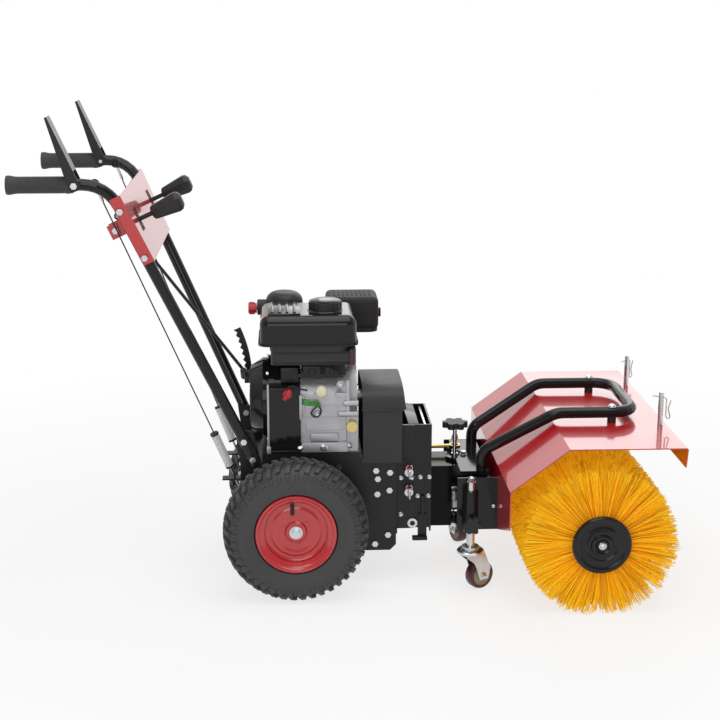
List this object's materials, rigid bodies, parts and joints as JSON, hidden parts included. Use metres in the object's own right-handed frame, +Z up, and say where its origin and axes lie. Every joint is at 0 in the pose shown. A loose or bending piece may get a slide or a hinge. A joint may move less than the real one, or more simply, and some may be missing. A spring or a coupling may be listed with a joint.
{
  "type": "walk-behind power brush sweeper",
  "caption": "Walk-behind petrol power brush: wheeled tractor unit with engine, raked handlebars and levers, driving a swivelling hooded rotary brush on casters.",
  "frame": {"origin": "on the ground, under the middle of the machine's length and width", "axes": "+X forward towards the brush, +Y to the left of the operator, +Z up"},
  "size_m": [1.443, 0.67, 1.0929],
  "materials": {
    "black_paint": "satin powder coat",
    "red_paint": "gloss enamel",
    "tyre_rubber": "matt rubber",
    "grip_rubber": "satin rubber",
    "cast_aluminium": "as cast",
    "bright_steel": "machined",
    "zinc_plate": "bright zinc plate",
    "yellow_zinc": "yellow zinc plate",
    "black_plastic": "satin moulding",
    "red_plastic": "gloss moulding",
    "bristle": "polypropylene filament",
    "belt_rubber": "rubber and cord",
    "caster_tread": "moulded tread",
    "stove_black": "heat-resistant matt paint"
  },
  "bodies": {
    "tractor": {"side_plates": "black_paint", "chassis_tray": "black_paint", "engine_bed": "black_paint", "axle_bearings": "bright_steel", "crankcase": "cast_aluminium", "blower_housing": "black_paint", "recoil_cover": "black_paint", "engine_shroud": "black_plastic", "fuel_tank": "black_paint", "air_filter": "black_plastic", "muffler": "stove_black", "belt_cover": "black_paint", "hitch_frame": "black_paint", "adapter_frame": "black_paint", "hitch_pins": "red_plastic", "handle_tubes": "black_paint", "hand_grips": "grip_rubber", "control_panel": "red_paint", "drive_belts": "belt_rubber", "shift_quadrant": "black_paint", "machine_bolts": "zinc_plate"},
    "wheels": {"drive_axle": "bright_steel", "rims": "red_paint", "tyres": "tyre_rubber"},
    "crank": {"crankshaft": "bright_steel"},
    "disc": {"drive_disc": "bright_steel"},
    "friction": {"friction_shaft": "bright_steel"},
    "drive_line": {"drive_shaft": "bright_steel"},
    "head": {"head_frame": "black_paint", "guard_bar": "black_paint", "hood": "red_paint", "gearbox_case": "black_paint"},
    "input": {"input_shaft": "bright_steel"},
    "brush": {"brush_spindle": "black_paint", "bristles_right": "bristle", "bristles_left": "bristle"},
    "stem_right": {"caster_stem_right": "zinc_plate"},
    "stem_left": {"caster_stem_left": "zinc_plate"},
    "fork_right": {"caster_fork_right": "zinc_plate"},
    "fork_left": {"caster_fork_left": "zinc_plate"},
    "caster_right": {"caster_wheel_right": "caster_tread"},
    "caster_left": {"caster_wheel_left": "caster_tread"},
    "height_knob_right": {"caster_knob_right": "black_plastic"},
    "height_knob_left": {"caster_knob_left": "black_plastic"},
    "swivel_knob": {"lock_knob": "black_plastic"},
    "hand_lever_left": {"drive_lever": "black_paint"},
    "hand_lever_right": {"brush_lever": "black_paint"},
    "cable_left": {"drive_cable": "bright_steel"},
    "cable_right": {"brush_cable": "bright_steel"},
    "speed_handle": {"speed_lever": "black_plastic"},
    "angle_handle": {"angle_lever": "black_plastic"},
    "shift_link": {"shift_rod": "black_paint"},
    "cap": {"fuel_cap": "black_plastic"},
    "plug": {"oil_plug": "yellow_zinc"},
    "switch": {"engine_switch": "red_plastic"},
    "choke": {"choke_knob": "red_plastic"},
    "starter": {"starter_grip": "black_plastic"},
    "pin_clip_right": {"clip_right": "zinc_plate"},
    "pin_clip_left": {"clip_left": "zinc_plate"},
    "angle_link": {"angle_rod": "yellow_zinc"}
  },
  "joints": [
    {"name": "axle_spin", "type": "hinge", "parent": "tractor", "child": "wheels", "pos_m": [-0.1265, 0, 0.165], "axis": [0, 1, 0], "continuous": true},
    {"name": "friction_spin", "type": "hinge", "parent": "tractor", "child": "friction", "pos_m": [-0.0288, 0, 0.205], "axis": [0, 1, 0], "continuous": true},
    {"name": "crank_spin", "type": "hinge", "parent": "tractor", "child": "crank", "pos_m": [-0.1265, 0, 0.424], "axis": [1, 0, 0], "continuous": true},
    {"name": "disc_spin", "type": "hinge", "parent": "tractor", "child": "disc", "pos_m": [0.0165, 0, 0.205], "axis": [1, 0, 0], "continuous": true},
    {"name": "drive_spin", "type": "hinge", "parent": "tractor", "child": "drive_line", "pos_m": [0.1735, 0, 0.164], "axis": [1, 0, 0], "continuous": true},
    {"name": "head_swivel", "type": "hinge", "parent": "tractor", "child": "head", "pos_m": [0.2535, 0, 0.19], "axis": [0, 0, 1], "range_deg": [-20, 20]},
    {"name": "brush_spin", "type": "hinge", "parent": "head", "child": "brush", "pos_m": [0.5435, 0, 0.164], "axis": [0, 1, 0], "continuous": true},
    {"name": "input_spin", "type": "hinge", "parent": "head", "child": "input", "pos_m": [0.3735, 0, 0.164], "axis": [1, 0, 0], "continuous": true},
    {"name": "caster_height_right", "type": "slide", "parent": "head", "child": "stem_right", "axis": [0, 0, 1], "range_m": [-0.03, 0.03]},
    {"name": "caster_height_left", "type": "slide", "parent": "head", "child": "stem_left", "axis": [0, 0, 1], "range_m": [-0.03, 0.03]},
    {"name": "caster_swivel_right", "type": "hinge", "parent": "stem_right", "child": "fork_right", "pos_m": [0.2735, -0.168, 0.095], "axis": [0, 0, 1], "continuous": true},
    {"name": "caster_swivel_left", "type": "hinge", "parent": "stem_left", "child": "fork_left", "pos_m": [0.2735, 0.168, 0.095], "axis": [0, 0, 1], "continuous": true},
    {"name": "caster_roll_right", "type": "hinge", "parent": "fork_right", "child": "caster_right", "pos_m": [0.29688, -0.1545, 0.033], "axis": [0.5, -0.866, 0], "continuous": true},
    {"name": "caster_roll_left", "type": "hinge", "parent": "fork_left", "child": "caster_left", "pos_m": [0.28273, 0.14263, 0.033], "axis": [0.9397, 0.342, 0], "continuous": true},
    {"name": "height_knob_turn_right", "type": "hinge", "parent": "head", "child": "height_knob_right", "pos_m": [0.2735, -0.19, 0.167], "axis": [0, 1, 0], "continuous": true},
    {"name": "height_knob_turn_left", "type": "hinge", "parent": "head", "child": "height_knob_left", "pos_m": [0.2735, 0.19, 0.167], "axis": [0, 1, 0], "continuous": true},
    {"name": "swivel_knob_turn", "type": "hinge", "parent": "tractor", "child": "swivel_knob", "pos_m": [0.2535, 0, 0.345], "axis": [0, 0, 1], "continuous": true},
    {"name": "hand_lever_left_pull", "type": "hinge", "parent": "tractor", "child": "hand_lever_left", "pos_m": [-0.5787, 0.232, 0.951], "axis": [0, -1, 0], "range_deg": [0, 46], "stiffness_Nm_per_rad": 2, "springref_deg": -28.65},
    {"name": "hand_lever_right_pull", "type": "hinge", "parent": "tractor", "child": "hand_lever_right", "pos_m": [-0.5787, -0.232, 0.951], "axis": [0, -1, 0], "range_deg": [0, 46], "stiffness_Nm_per_rad": 2, "springref_deg": -28.65},
    {"name": "cable_left_pull", "type": "slide", "parent": "tractor", "child": "cable_left", "axis": [-0.3705, 0.1369, 0.9187], "range_m": [0, 0.036]},
    {"name": "cable_right_pull", "type": "slide", "parent": "tractor", "child": "cable_right", "axis": [-0.3705, -0.1369, 0.9187], "range_m": [0, 0.036]},
    {"name": "speed_shift", "type": "hinge", "parent": "tractor", "child": "speed_handle", "pos_m": [-0.5064, 0.15, 0.8433], "axis": [0, -1, 0], "range_deg": [-15, 15]},
    {"name": "angle_shift", "type": "hinge", "parent": "tractor", "child": "angle_handle", "pos_m": [-0.5064, -0.15, 0.8433], "axis": [0, -1, 0], "range_deg": [-16, 16]},
    {"name": "shift_link_slide", "type": "slide", "parent": "tractor", "child": "shift_link", "axis": [0.6123, -0.0727, -0.7873], "range_m": [-0.01, 0.01]},
    {"name": "cap_turn", "type": "hinge", "parent": "tractor", "child": "cap", "pos_m": [-0.0535, -0.044, 0.645], "axis": [0, 0, 1], "range_deg": [0, 90]},
    {"name": "plug_turn", "type": "hinge", "parent": "tractor", "child": "plug", "pos_m": [0.0045, -0.103, 0.38], "axis": [0, 1, 0], "continuous": true},
    {"name": "switch_turn", "type": "hinge", "parent": "tractor", "child": "switch", "pos_m": [-0.1425, -0.115, 0.46], "axis": [0, 1, 0], "range_deg": [0, 60]},
    {"name": "choke_turn", "type": "hinge", "parent": "tractor", "child": "choke", "pos_m": [-0.2165, 0.122, 0.609], "axis": [1, 0, 0], "range_deg": [0, 90]},
    {"name": "starter_pull", "type": "slide", "parent": "tractor", "child": "starter", "axis": [-1, 0, 0], "range_m": [0, 0.4], "stiffness_N_per_m": 20, "springref_m": -0.5},
    {"name": "clip_right_pull", "type": "slide", "parent": "head", "child": "pin_clip_right", "axis": [0.766, -0.6428, 0], "range_m": [0, 0.065]},
    {"name": "clip_left_pull", "type": "slide", "parent": "head", "child": "pin_clip_left", "axis": [0.766, 0.6428, 0], "range_m": [0, 0.065]},
    {"name": "angle_link_slide", "type": "slide", "parent": "tractor", "child": "angle_link", "axis": [1, 0, 0], "range_m": [-0.02, 0.02]}
  ],
  "couplings": [
    {"joint": "friction_spin", "follows": "axle_spin", "ratio": 3.1},
    {"joint": "input_spin", "follows": "brush_spin", "ratio": 2},
    {"joint": "drive_spin", "follows": "brush_spin", "ratio": 2},
    {"joint": "angle_link_slide", "follows": "head_swivel", "m_per_rad": -0.045},
    {"joint": "angle_shift", "follows": "head_swivel", "ratio": 0.75},
    {"joint": "cable_left_pull", "follows": "hand_lever_left_pull", "m_per_rad": 0.0351},
    {"joint": "cable_right_pull", "follows": "hand_lever_right_pull", "m_per_rad": 0.0351},
    {"joint": "shift_link_slide", "follows": "speed_shift", "m_per_rad": 0.0291}
  ]
}
